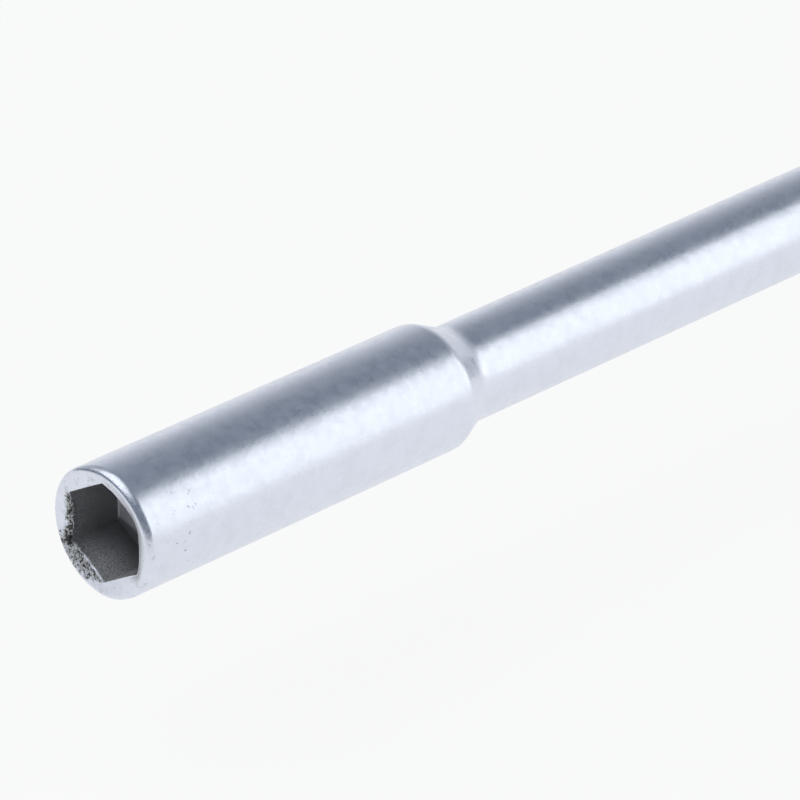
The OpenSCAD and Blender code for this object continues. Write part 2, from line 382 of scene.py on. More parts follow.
def socket_steel(p, depth, sizes):
    """Colour inside the socket: broached walls with painted shade deeper in and painted light on the lower
    wall by the mouth, and a drilled floor with painted shade over its lower part.
    """
    across, upright = depth.part("Y"), depth.part("Z")
    dark = scaled(sizes.broached, 0.6)
    # Painted light: the upward-facing lower wall is drawn paler near the mouth, as if lit from above.
    lit_lower_wall = upright.smooth(-1.4, -2.7) * (1 - depth.smooth(0.8, 3.8))
    # Painted shade: the walls darken deeper into the socket, towards its floor.
    walls = p.mix(lit_lower_wall, p.mix(depth.smooth(0.4, 3.4), sizes.broached, dark), LIT_WALL_STEEL)
    grainy = p.mix(p.noise(15.0, 2.0, 0.6).smooth(0.3, 0.6), dark, walls)
    # Painted shade: the floor's lower part, by the lower wall, is darkened; this mask is 1 on its lit upper
    # part.
    lit_floor_part = (upright - across * 0.26).smooth(-2.3, -1.95)
    bottom = p.mix(lit_floor_part, scaled(sizes.floor, 0.4), sizes.floor)
    return p.mix(depth.smooth(*FLOOR_FADE), grainy, bottom)


def satin_chrome(sizes):
    """Satin plating with grain, orange peel and pits, flaked at the mouth, bare inside the socket."""
    material, p = new_paint("satin_chrome")
    inside, flake, polish = p.attribute("inside"), p.attribute("flake"), p.attribute("polish")
    depth = p.node("ShaderNodeSeparateXYZ", {}, {0: p.place}, "X")
    grain = p.noise(3.4, 4.0, 0.58)
    peel = p.noise(1.1, 2.0)
    mottle = p.noise(1.6, 5.0, 0.6).smooth(0.36, 0.64)
    scuffed = 1 - p.node("ShaderNodeVectorMath", {"operation": "DISTANCE"},
                         {0: p.place, 1: SCUFF_AT}, "Value").smooth(1.2, 3.2)
    pits = p.noise(3.0, 4.0, 0.62).smooth(0.645, 0.69) * (scuffed * 0.6 + 0.08)
    nicks = p.noise(6.5, 4.0, 0.7).smooth(0.48, 0.66) * polish
    some = flake.smooth(0.0, 0.12)
    chips = (p.noise(5.5, 5.0, 0.75) + flake * 0.15).smooth(0.62, 0.67) * some
    bald = (p.noise(3.4, 5.0, 0.75) + flake * 0.36).smooth(0.58, 0.82) * some
    grit = p.noise(9.0, 3.0, 0.7)
    bare = p.mix(grit.smooth(0.36, 0.64), scaled(sizes.bare, 0.5), sizes.bare)
    worn = p.mix(chips, p.mix(inside, bare, socket_steel(p, depth, sizes)), CHIP_BLACK)
    smudge = p.noise(1.5, 4.0, 0.7).smooth(0.54, 0.68) * (1 - depth.smooth(0.3, 0.7))
    haze = p.noise(0.9, 5.0, 0.72).smooth(0.42, 0.66)
    film = p.mix(haze * 0.11, sizes.plating, scaled(sizes.plating, 0.6))
    plated = p.mix(pits, p.mix(smudge * 0.5, film, SMUDGE_GREY), PIT_GREY)
    cover = 1 - (1 - inside) * (1 - bald * 0.8) * (1 - chips)
    relief = grain * GRAIN_HEIGHT + peel * PEEL_HEIGHT - pits * PIT_DEPTH
    skin = (1 - inside) * (1 - polish * 0.7) * relief - nicks * NICK_DEPTH
    rough_steel = cover * (grit * GRIT_HEIGHT - chips * CHIP_DEPTH)
    p.surface({
        "Base Color": p.mix(cover, plated, worn),
        "Metallic": 1 - cover * 0.5,
        "Roughness": 0.245 + grain * 0.06 + mottle * 0.07 + cover * 0.24 - polish * 0.03 + nicks * 0.09,
        "Normal": p.bump(skin + rough_steel),
    })
    return material


def hard_plastic(sizes):
    """Moulded plastic with a spark-eroded grain, a parting line, and corners rubbed pale and smooth."""
    material, p = new_paint("hard_plastic")
    edge = p.attribute("edge")
    grain = p.noise(3.6, 3.0, 0.65)
    drift = p.noise(0.11, 2.0).smooth(0.3, 0.7)
    scuff = p.noise(1.6, 4.0, 0.7, factors=(0.35, 1.0, 1.0)).smooth(0.46, 0.66)
    height = p.node("ShaderNodeSeparateXYZ", {}, {0: p.place}, "Z")
    seam = 1 - height.math("ABSOLUTE", height).smooth(0.05, 0.16)
    rubbed = edge * (scuff * 0.75 + 0.25)
    shade = p.mix(drift, sizes.body, scaled(sizes.body, 1.22))
    p.surface({
        "Base Color": p.mix(rubbed, shade, sizes.body_worn),
        "Roughness": 0.46 + grain * 0.14 - rubbed * 0.12,
        "Normal": p.bump(grain * 0.08 * (1 - rubbed * 0.7) + seam * 0.03 - scuff * 0.004),
    })
    return material


def grey_plastic(sizes):
    """Fine-grained grey plastic with a trace of handling."""
    material, p = new_paint("grey_plastic")
    grain = p.noise(6.0, 3.0, 0.6)
    smear = p.noise(0.6, 3.0, 0.6, factors=(1.0, 0.4, 0.4)).smooth(0.4, 0.68)
    edge = p.attribute("edge")
    shade = p.mix(smear * 0.35, sizes.band, scaled(sizes.band, 0.72))
    p.surface({
        "Base Color": p.mix(edge * 0.5, shade, scaled(sizes.band, 1.25)),
        "Roughness": 0.36 + grain * 0.12 + smear * 0.1 - edge * 0.08,
        "Normal": p.bump(grain * 0.03),
    })
    return material


def soft_rubber(sizes):
    """Matt black rubber with a stippled skin, and dust that stays in its grooves."""
    material, p = new_paint("soft_rubber")
    stipple = p.noise(5.0, 2.0, 0.5)
    cloud = p.noise(0.35, 3.0, 0.6)
    groove = p.attribute("groove")
    dusty = groove * cloud.smooth(0.35, 0.7) * 0.7 + cloud.smooth(0.5, 0.8) * 0.12
    shine = p.noise(0.9, 3.0, 0.6).smooth(0.45, 0.7) * (1 - groove)
    p.surface({
        "Base Color": p.mix(dusty, sizes.rubber, sizes.dust),
        "Roughness": 0.74 + stipple * 0.14 - shine * 0.12,
        "Specular IOR Level": 0.4,
        "Normal": p.bump(stipple * 0.09 + cloud * 0.02),
    })
    return material


def pale_floor(sizes):
    """A pale floor that keeps the shadow, and that metal sees as white as the camera does."""
    material, p = new_paint("pale_floor")
    seen = p.node("ShaderNodeLightPath", out="Is Camera Ray")
    watched = seen.math("MAXIMUM", seen.math("MAXIMUM", seen, seen.part("Is Glossy Ray")),
                        seen.part("Is Transmission Ray"))
    matte = p.node("ShaderNodeBsdfDiffuse", {}, {"Color": sizes.floor})
    glow = p.node("ShaderNodeEmission", {}, {"Color": (1.0, 1.0, 1.0), "Strength": 1.0})
    shown = p.node("ShaderNodeMixShader", {}, {"Fac": watched * 0.87, 1: matte, 2: glow})
    p.node("ShaderNodeOutputMaterial", {}, {"Surface": shown})
    return material


def outward(mesh, join=None):
    """Joins points within a distance, if one is given, and turns the faces of a mesh outward."""
    shape = bmesh.new()
    shape.from_mesh(mesh)
    if join:
        bmesh.ops.remove_doubles(shape, verts=shape.verts, dist=join)
    bmesh.ops.recalc_face_normals(shape, faces=shape.faces)
    shape.to_mesh(mesh)
    shape.free()


def meshed(name, points, faces):
    """A mesh in metres from points in millimetres, with its faces turned outward."""
    mesh = bpy.data.meshes.new(name)
    mesh.from_pydata((points * MM).tolist(), [], faces)
    mesh.validate()
    outward(mesh)
    return mesh


def placed(name, data):
    """A new object in the scene."""
    made = bpy.data.objects.new(name, data)
    bpy.context.scene.collection.objects.link(made)
    return made


def piece(name, points, faces, material, node, marks, sharp):
    """A piece from points in millimetres that rides on the part and stands for a CAD node."""
    mesh = meshed(name, points, faces)
    for label, values in marks.items():
        mesh.attributes.new(label, "FLOAT", "POINT").data.foreach_set("value", np.asarray(values, np.float32))
    mesh.shade_smooth()
    mesh.set_sharp_from_angle(angle=math.radians(sharp))
    mesh.materials.append(material)
    made = placed(name, mesh)
    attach(made, "root")
    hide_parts(node)
    return made


def turns(count):
    """Angles round the tool axis, from straight up towards +Y."""
    return np.arange(count) * (2 * math.pi / count)


def around(theta, x, radius):
    """A ring of points at station x with those radii."""
    radius = np.broadcast_to(radius, theta.shape)
    return np.stack([np.broadcast_to(x, theta.shape), radius * np.sin(theta), radius * np.cos(theta)], axis=1)


def skinned(rings, first=None, last=None):
    """Points and faces of a skin over equal rings, closed by a pole at each end that is given."""
    count = len(rings[0])
    points = np.concatenate(rings)
    faces = []
    step = [(j, (j + 1) % count) for j in range(count)]
    for i in range(len(rings) - 1):
        a, b = i * count, (i + 1) * count
        faces += [(a + j, a + k, b + k, b + j) for j, k in step]
    for pole, base in ((first, 0), (last, (len(rings) - 1) * count)):
        if pole is None:
            continue
        at = len(points)
        points = np.concatenate([points, [pole]])
        faces += [(at, base + k, base + j) if base == 0 else (at, base + j, base + k) for j, k in step]
    return points, faces


def smoothstep(low, high, value):
    """0 at low, 1 at high, and a smooth step between them."""
    t = np.clip((value - low) / (high - low), 0.0, 1.0)
    return t * t * (3 - 2 * t)


def window(theta, start, end, fade):
    """1 between two angles in degrees, with soft ends."""
    degrees = np.degrees(theta)
    return smoothstep(start, start + fade, degrees) * (1 - smoothstep(end - fade, end, degrees))


def rough(points, scale, octaves):
    """Fractal noise at each point, about -1 to 1."""
    return np.array([noise.fractal(Vector(p) * scale, 0.8, 2.0, octaves) for p in points.tolist()])


def soft_min(a, b, soft):
    """The lesser of two values, with the corner rounded."""
    h = np.maximum(soft - np.abs(a - b), 0.0) / soft
    return np.minimum(a, b) - h * h * soft / 4


def filleted(corners, steps=6):
    """Profile points from (x, radius, rounding) corners, with an arc for each rounded one."""
    spots = [np.array(corner[:2], float) for corner in corners]
    points = []
    for i, corner in enumerate(corners):
        if len(corner) < 3:
            points.append(spots[i])
            continue
        back, on = spots[i - 1] - spots[i], spots[(i + 1) % len(spots)] - spots[i]
        back, on = back / np.linalg.norm(back), on / np.linalg.norm(on)
        half = math.acos(np.clip(back @ on, -1.0, 1.0)) / 2
        middle = (back + on) / np.linalg.norm(back + on)
        centre = spots[i] + middle * corner[2] / math.sin(half)
        first = spots[i] + back * corner[2] / math.tan(half) - centre
        last = spots[i] + on * corner[2] / math.tan(half) - centre
        sweep = math.pi - 2 * half
        for share in np.linspace(0, 1, steps + 1):
            points.append(centre + (math.sin((1 - share) * sweep) * first + math.sin(share * sweep) * last)
                          / math.sin(sweep))
    return np.array(points)


def off_flat(theta):
    """Angle from the nearest flat of a six-sided piece that has a flat on top."""
    return np.mod(theta + HEX / 2, HEX) - HEX / 2


def six_sided(theta, radius, drop):
    """Radii of a round section with six flats that lie a drop below it, and softened corners."""
    if drop < 1e-4:
        return np.full(theta.shape, radius)
    soft, off = CORNER_SOFT * min(drop, MOST_DROP), np.abs(off_flat(theta))
    sides = soft_min((radius - drop) / np.cos(off), (radius - drop) / np.cos(HEX - off), soft)
    return soft_min(np.full(theta.shape, radius), sides, soft)


def bevelled(flat, bevel, inset, soft):
    """Height of a flat at a distance in from an end that has an even bevel."""
    return soft_min(flat, flat - bevel + inset, soft)


def barrel_r(h, x):
    """Radius of the barrel at station x: a flat curve that is level at the belly."""
    start, end = SLEEVE_HIGH[0] + h.fit, CAP_LOW[0] - h.fit
    belly = start + h.belly_at
    fall = np.where(x < belly, h.belly_r - h.barrel_front_r, h.belly_r - h.barrel_rear_r)
    run = np.where(x < belly, h.belly_at, end - belly)
    return h.belly_r - fall * ((x - belly) / run) ** 2


RIB_MID = (INSERT_LOW[0] + INSERT_HIGH[0]) / 2
RIB_HALF = (INSERT_HIGH[1] - INSERT_LOW[1]) / 2
RIB_STRAIGHT = (INSERT_HIGH[0] - INSERT_LOW[0]) / 2 - RIB_HALF


def within_rib(x, y):
    """Distance inside the outline of a grip rib, below zero outside it."""
    return RIB_HALF - np.hypot(np.maximum(np.abs(x - RIB_MID) - RIB_STRAIGHT, 0.0), y)


def body_columns(radius):
    """Angles around the handle: rows along the sides of the ribs, and even steps over the corners."""
    sides = np.array(RIB_ROWS) * RIB_HALF / ROWS_HALF
    half = np.arcsin(sides / max(radius, ROWS_R))
    half = np.concatenate([half, np.linspace(half[-1], HEX / 2, 9)[1:]])
    sector = np.concatenate([-half[:0:-1], half[:-1]])
    return np.concatenate([sector + k * HEX for k in range(6)])


def millimetre_sizes(group):
    """The lengths of a group in millimetres, with its counts as they are."""
    sizes = {}
    for key in group.__annotations__:
        value = getattr(group, key)
        if isinstance(value, float):
            sizes[key] = value / MM
        elif isinstance(value, int):
            sizes[key] = value
    return SimpleNamespace(**sizes)


def rubbed_corners(points, low, high, corner_r):
    """How much each point of a six-sided piece is rubbed: most on corners, none past its ends."""
    x, y, z = points.T
    near = smoothstep(math.radians(19), math.radians(25), np.abs(off_flat(np.arctan2(y, z))))
    along = (x > low) & (x < high)
    return smoothstep(corner_r - 2.6, corner_r - 0.3, np.hypot(y, z)) * (0.3 + 0.7 * near) * along


def body_shape(h):
    """Rings of the handle body from its nose to the end of its spigot."""
    nose, flange = CORE_LOW[0], RING_HIGH[0] + h.fit
    waist, barrel, rear = SLEEVE_LOW[0] - h.fit, SLEEVE_HIGH[0] + h.fit, CAP_LOW[0] - h.fit
    corner, bevel = h.corner_r, h.flange_round
    front = filleted([
        (nose, POLE_R), (nose, h.nose_r, 0.5), (flange, h.nose_r, FINE_ROUND), (flange, corner, bevel),
        (flange + bevel + FLANGE_SOFT, corner), (waist - bevel - FLANGE_SOFT, corner),
        (waist, corner, bevel), (waist, h.waist_r, FINE_ROUND), (barrel, h.waist_r, FINE_ROUND),
        (barrel, barrel_r(h, barrel + h.barrel_round), h.barrel_round),
        (barrel + 3, barrel_r(h, barrel + 3))])
    first, last = RIB_MID - RIB_STRAIGHT - RIB_HALF, RIB_MID + RIB_STRAIGHT + RIB_HALF
    stations = np.concatenate([
        np.linspace(first - 0.4, first + 5, 20), np.linspace(first + 6, last - 6, 18),
        np.linspace(last - 5, last + 0.4, 20), np.linspace(last + 1, rear - 0.5, 4)])
    hull = np.stack([stations, barrel_r(h, stations)], axis=1)
    tail = filleted([
        (rear - 0.5, barrel_r(h, rear - 0.5)), (rear, h.barrel_rear_r, FINE_ROUND),
        (rear, h.spigot_r, FINE_ROUND), (CORE_HIGH[0], h.spigot_r, 0.5), (CORE_HIGH[0], POLE_R)])
    rings = []
    for x, radius in np.concatenate([front, hull, tail[1:]]):
        theta = body_columns(radius)
        radii = np.full(theta.shape, radius)
        if flange <= x <= waist:
            flat = bevelled(h.flat_r, bevel, min(x - flange, waist - x), FLANGE_SOFT)
            radii = six_sided(theta, radius, max(radius - flat, 0.0))
        elif first - 1 < x < last + 1:
            inner = within_rib(x, radius * np.sin(off_flat(theta)))
            radii = radii - h.pocket * smoothstep(0.55, 1.2, inner)
        rings.append(around(theta, x, radii))
    points, faces = skinned(rings, (nose, 0, 0), (CORE_HIGH[0], 0, 0))
    return points, faces, {"edge": rubbed_corners(points, flange - 1, waist + 1, corner)}


def cap_shape(h):
    """Rings of the cap from the foot of its bore, over the outside, into the seat of the disc."""
    low, high, flare = CAP_LOW[0], CAP_HIGH[0], CAP_LOW[0] + h.cap_flare
    bore, bore_end = h.spigot_r + h.fit, CORE_HIGH[0] + h.fit
    seat, seat_end = PLUG_HIGH[1] + h.fit, PLUG_LOW[0] - h.fit
    bevel, corner, rear = high - h.cap_round, h.corner_r, h.barrel_rear_r
    profile = filleted([
        (bore_end, POLE_R), (bore_end, bore, FINE_ROUND), (low, bore, 0.2), (low, rear, FINE_ROUND),
        (flare, corner, 3.0), (bevel - CAP_SOFT, corner), (bevel - CAP_SOFT / 2, corner),
        (high, corner, h.cap_round), (high, seat, 0.25), (seat_end, seat, 0.1), (seat_end, POLE_R)], 14)
    theta = turns(CAP_STEPS)
    most = corner - h.flat_r
    rings = []
    for x, radius in profile:
        drop = max(radius - bevelled(h.flat_r, h.cap_round, high - x, CAP_SOFT), 0.0)
        if x < flare + 4:
            drop = most * np.clip((radius - rear) / (corner - rear), 0.0, 1.0)
        rings.append(around(theta, x, six_sided(theta, radius, drop)))
    return skinned(rings, (bore_end, 0, 0), (seat_end, 0, 0))


def hole_shape(h):
    """Cutter for the hanging hole, upright, with rounded flares that leave through the flats."""
    x, flare, top = HANG_X, h.hang_flare, h.flat_r
    half = [(top - flare * (1 - math.sin(a)), h.hang_r + flare * (1 - math.cos(a)))
            for a in np.linspace(0, math.pi / 2, 7)] + [(top + 0.4, h.hang_r + flare)]
    profile = [(-z, r) for z, r in reversed(half)] + half
    theta = turns(HOLE_STEPS)
    rings = [np.stack([x + r * np.cos(theta), r * np.sin(theta), np.full(theta.shape, z)], axis=1)
             for z, r in profile]
    return skinned(rings, (x, 0, -top - 0.4), (x, 0, top + 0.4))


def drilled(points, faces, cutter):
    """Points and faces of a closed skin with another one cut out of it."""
    blank = placed("blank", meshed("blank", points, faces))
    drill = placed("drill", meshed("drill", *cutter))
    cut = blank.modifiers.new("drill", "BOOLEAN")
    cut.operation, cut.solver, cut.object = "DIFFERENCE", "EXACT", drill
    solid = blank.evaluated_get(bpy.context.evaluated_depsgraph_get())
    result = solid.to_mesh()
    points = np.array([v.co for v in result.vertices]) / MM
    faces = [tuple(f.vertices) for f in result.polygons]
    solid.to_mesh_clear()
    for one in (blank, drill):
        mesh = one.data
        bpy.data.objects.remove(one)
        bpy.data.meshes.remove(mesh)
    return points, faces


def looped(profile, count):
    """Points and faces of a hollow turned piece from a closed profile of (x, radius) points."""
    theta = turns(count)
    points, faces = skinned([around(theta, x, radius) for x, radius in profile])
    last = (len(profile) - 1) * count
    faces += [(last + j, last + (j + 1) % count, (j + 1) % count, j) for j in range(count)]
    return points, faces


def scoop(offset, g):
    """Depth of a round-bottomed groove with soft lips at an offset from its middle."""
    radius = g.groove_r
    inner = np.sqrt(np.maximum(radius ** 2 - offset ** 2, 0.0)) - np.maximum(np.abs(offset) - radius, 0.0)
    return -soft_min(0.0, -(inner - radius + g.groove_depth), 0.2)


def grooved(x, middle, count, pitch, g):
    """Depth at station x of a row of grooves."""
    depth = np.zeros(np.shape(x))
    for k in range(count):
        depth = np.maximum(depth, scoop(x - middle - (k - (count - 1) / 2) * pitch, g))
    return depth


def eased(inset, rounding):
    """Drop of a rounded edge at a distance in from it."""
    near = np.clip(rounding - inset, 0.0, rounding)
    return rounding - np.sqrt(rounding ** 2 - near ** 2)


def neck_shape(g, h):
    """The waisted neck grip with its grooves and rounded ends."""
    low, high = SLEEVE_LOW[0], SLEEVE_HIGH[0]
    middle, half = (low + high) / 2, (high - low) / 2
    ends = g.edge_round * (1 - np.cos(np.linspace(0, math.pi / 2, 8)))
    x = np.concatenate([low + ends, np.linspace(low + g.edge_round, high - g.edge_round, NECK_STEPS)[1:-1],
                        (high - ends)[::-1]])
    part = (x - middle) / half
    depth = grooved(x, middle, g.neck_grooves, g.neck_pitch, g)
    outer = h.waist_r + g.mid_wall + (g.end_wall - g.mid_wall) * part ** 2 - depth
    outer -= eased(np.minimum(x - low, high - x), g.edge_round)
    inner = h.waist_r + 0.02
    profile = list(zip(x, outer)) + [(high, inner), (low, inner)]
    points, faces = looped(profile, h.segments)
    deep = np.repeat(np.append(depth / g.groove_depth, (0.0, 0.0)), h.segments)
    return points, faces, {"groove": np.clip(deep, 0.0, 1.0)}


def rib_shape(g, h, turn):
    """One long grooved grip rib, turned to its place around the barrel."""
    along = np.linspace(-RIB_STRAIGHT, RIB_STRAIGHT, RIB_STEPS)
    bend = np.linspace(0, math.pi, BEND_STEPS)[1:-1]
    far = np.full(bend.shape, RIB_STRAIGHT)
    spine = np.concatenate([along, far, along[::-1], -far])
    out_x = np.concatenate([0 * along, np.sin(bend), 0 * along, -np.sin(bend)])
    out_y = np.concatenate([0 * along + 1, np.cos(bend), 0 * along - 1, -np.cos(bend)])
    rim = g.rib_round * (1 - np.cos(np.linspace(0, math.pi / 2, 7)))
    rings, deep = [], []

    def add(inset, sink=0.0):
        x = RIB_MID + spine + (RIB_HALF - inset) * out_x
        y = (RIB_HALF - inset) * out_y
        depth = grooved(x, RIB_MID, g.rib_grooves, g.rib_pitch, g)
        depth = depth * (0.5 + 0.5 * smoothstep(0.2, 1.6, inset))
        top = barrel_r(h, x) + g.proud - depth
        z = np.sqrt(top ** 2 - y ** 2) - eased(inset, g.rib_round)
        if sink:
            z = np.sqrt((barrel_r(h, x) - sink) ** 2 - y ** 2)
        turned_y = y * math.cos(turn) + z * math.sin(turn)
        turned_z = z * math.cos(turn) - y * math.sin(turn)
        rings.append(np.stack([x, turned_y, turned_z], axis=1))
        deep.append(depth / g.groove_depth)

    foot = h.pocket - 0.1
    add(RIB_HALF, foot)
    add(0.0, foot)
    for inset in np.concatenate([rim, np.linspace(g.rib_round, RIB_HALF, 13)[1:]]):
        add(inset)
    points, faces = skinned(rings)
    return points, faces, {"groove": np.clip(np.concatenate(deep), 0.0, 1.0)}


def mouth_zones(theta):
    """How smooth, polished, flaked, burred, notched or dull the mouth is at each angle."""
    degrees = np.degrees(theta)
    zones = SimpleNamespace()
    zones.smooth = np.maximum(smoothstep(*SMOOTH_FROM, degrees), 1 - smoothstep(*SMOOTH_TO, degrees))
    zones.polished = window(theta, *POLISHED)
    zones.worn_most = window(theta, *WORN_MOST)
    zones.chipped = np.maximum(window(theta, *FLAKED_NEAR), 0.8 * window(theta, *FLAKED_FAR))
    zones.burred = window(theta, *BURRED)
    zones.notch = np.exp(-((degrees - NOTCH_AT) / NOTCH_WIDTH) ** 2)
    zones.lip = window(theta, *DULL_LIP)
    zones.corner = 0.02 + 0.9 * window(theta, *ROUNDED_CORNER) + 0.2 * window(theta, *EASED_CORNER)
    out, back = smoothstep(*REACH_FROM, degrees), smoothstep(*REACH_TO, degrees)
    zones.flakes_to = FLAKES_R + 0.1 * window(theta, *FLAKED_WIDE) + 1.6 * out * (1 - back)
    return zones


def tang_radii(mm, theta, share):
    """Radii of the tang, with wings from none at a share of 0 to their full span at 1."""
    span = mm.shaft_r + share * (mm.wing_span / 2 - mm.shaft_r)
    sideways = span / np.maximum(np.abs(np.sin(theta)), 1e-6)
    upright = mm.wing_thick / 2 / np.maximum(np.abs(np.cos(theta)), 1e-6)
    return np.maximum(mm.shaft_r, np.minimum(sideways, upright) * share)


def blade_shape(sizes):
    """Rings of the blade from the socket floor out of the mouth, then back along the shaft."""
    mm = millimetre_sizes(sizes)
    theta = turns(sizes.segments)
    zones = mouth_zones(theta)
    chipped, burred, notch = zones.chipped, zones.burred, zones.notch
    to_flat = np.mod(theta, HEX) - HEX / 2
    hexagon = mm.hex_af / 2 / np.cos(to_flat)
    neighbour = mm.hex_af / 2 / np.cos(HEX - np.abs(to_flat))
    uneven = rough(around(theta, 0.0, hexagon), 3.2, 5)
    ragged = (uneven * (0.17 - 0.145 * burred) - 0.08) * chipped + uneven * 0.008 + 0.14 * notch
    wear = mm.worn * zones.polished + EXTRA_WEAR * zones.worn_most
    eased_hexagon = soft_min(hexagon, neighbour, zones.corner) + wear
    mouth = eased_hexagon + ragged
    bend = 0.05 + 0.03 * chipped
    start = mouth + bend
    crisp = mm.rim_crisp
    tight, broad = (crisp + (worn - crisp) * zones.smooth for worn in (mm.rim_edge, mm.rim_round))
    low = mm.rim_low * zones.smooth
    rim = mm.head_r - tight * math.sin(RIM_MEET) - broad * (1 - math.sin(RIM_MEET))
    rim_end = low + tight * (1 - math.cos(RIM_MEET)) + broad * math.cos(RIM_MEET)
    rings, marks = [], {"inside": [], "flake": [], "polish": []}

    def add(x, radius, *values):
        """Adds a ring with its values of inside, flake and polish, which are 0 where not given."""
        rings.append(around(theta, x, radius))
        for name, value in zip(marks, (*values, 0.0, 0.0, 0.0)):
            marks[name].append(np.broadcast_to(value, theta.shape))

    def face(radius):
        return low + mm.rim_dish * np.maximum(rim - radius, 0.0) / (rim - FACE_R)

    def flaked(radius):
        far = radius + 0.16 * rough(around(theta, 3.0, radius), 2.4, 4)
        worst = 1 + 0.8 * notch * (1 - smoothstep(0.1, 0.5, far - start))
        share = (far - start) / (zones.flakes_to - start + 0.05)
        return worst * chipped * (1 - smoothstep(0.0, 1.0, share))

    # Floor and walls of the socket
    deep = mm.hex_depth
    for share in (0.3, 0.6, 0.85, 0.96):
        add(deep, hexagon * share, 1.0)
    add(deep - FLOOR_LIP, hexagon - 0.01, 1.0)
    edge_x = face(start)
    for share in (*np.linspace(0.04, 0.84, 9), 0.88, 0.91, 0.94, 0.965, 0.985):
        x = deep - FLOOR_LIP - share * (deep - FLOOR_LIP - bend - edge_x)
        worn_away = (eased_hexagon - hexagon) * smoothstep(0.6, 1.0, share)
        add(x, hexagon + worn_away + ragged * smoothstep(0.88, 1.0, share), 1.0)
    # Edge of the mouth, its face and the outer rim
    for turn in np.linspace(0, math.pi / 2, 9):
        x = edge_x + bend * (1 - np.sin(turn))
        radius = mouth + bend * (1 - np.cos(turn))
        lift = (-BURR_HEIGHT * burred * smoothstep(0.4, 1.2, turn)
                + NOTCH_DEPTH * notch * smoothstep(0.0, 1.2, turn))
        bright = 1 - burred * smoothstep(0.2, 0.5, turn)
        add(x + lift, radius, 1 - smoothstep(0.35, 1.1, turn), chipped * smoothstep(0.5, 1.2, turn) * bright)
    for share in np.linspace(0.08, 0.94, 12):
        radius = start + (rim - start) * share
        zone = flaked(radius)
        pitted = np.clip(rough(around(theta, 0.0, radius), 3.2, 4), 0, 1)
        dip = DIP_DEPTH * zone * pitted + NOTCH_DEPTH * notch * (1 - smoothstep(0.0, 0.3, share))
        dull = 0.6 * zones.lip * (1 - smoothstep(0.0, 0.55, radius - start))
        burr = BURR_HEIGHT * burred * (1 - smoothstep(0.0, 0.1, share))
        add(face(radius) + dip - burr, radius, dull, zone)
    for turn in np.linspace(0, math.pi / 2, 19):
        first, second = min(turn, RIM_MEET), max(turn, RIM_MEET)
        x = low + tight * (1 - math.cos(first)) + broad * (math.cos(RIM_MEET) - math.cos(second))
        radius = rim + tight * math.sin(first) + broad * (math.sin(second) - math.sin(RIM_MEET))
        gloss = zones.smooth * smoothstep(0.0, 0.2, turn) * (1 - smoothstep(1.2, 1.55, turn))
        add(x, radius, 0.0, flaked(radius), gloss)
    # Head, shoulder, shaft and tang
    head_end, foot = mm.head_len, mm.head_len + mm.shoulder_len
    shoulder = filleted([(head_end - 1, mm.head_r), (head_end, mm.head_r, mm.shoulder_out),
                         (foot, mm.shaft_r, mm.shoulder_in), (foot + 1, mm.shaft_r)], 12)
    for share in np.linspace(0.06, 1.0, 10)[:-1]:
        add(rim_end + share * (shoulder[0, 0] - rim_end), mm.head_r)
    for x, radius in shoulder:
        add(x, radius)
    reach, tang = CORE_LOW[0], BLADE_HIGH[0]
    for x in np.linspace(foot + 1, reach, 12)[1:]:
        add(x, mm.shaft_r)
    for before, share in TANG_RINGS:
        add(tang - before, tang_radii(mm, theta, share))
    add(tang - TANG_CHAMFER, mm.shaft_r)
    add(tang, mm.shaft_r - TANG_CHAMFER)
    points, faces = skinned(rings, (deep, 0, 0), (tang, 0, 0))
    poles = {"inside": (1.0, 0.0), "flake": (0.0, 0.0), "polish": (0.0, 0.0)}
    return points, faces, {name: np.append(np.concatenate(marks[name]), poles[name]) for name in marks}


class BuildBlade(bpy.types.Operator):
    """Build the plated blade with its six-sided socket, shoulder, shaft and tang"""

    bl_idname = "nut_driver.blade"
    bl_label = "Blade"

    def execute(self, context):
        sizes = context.scene.driver_blade
        points, faces, marks = blade_shape(sizes)
        piece("driver_blade", points, faces, satin_chrome(sizes), "blade", marks, sharp=40)
        return {"FINISHED"}


class BuildBody(bpy.types.Operator):
    """Build the hard handle body with its nose, six-sided flange, waist, barrel and spigot"""

    bl_idname = "nut_driver.body"
    bl_label = "Handle body"

    def execute(self, context):
        sizes = context.scene.driver_handle
        points, faces, marks = body_shape(millimetre_sizes(sizes))
        material = hard_plastic(sizes)
        piece("handle_body", points, faces, material, "handle_core", marks, sharp=35)
        return {"FINISHED"}


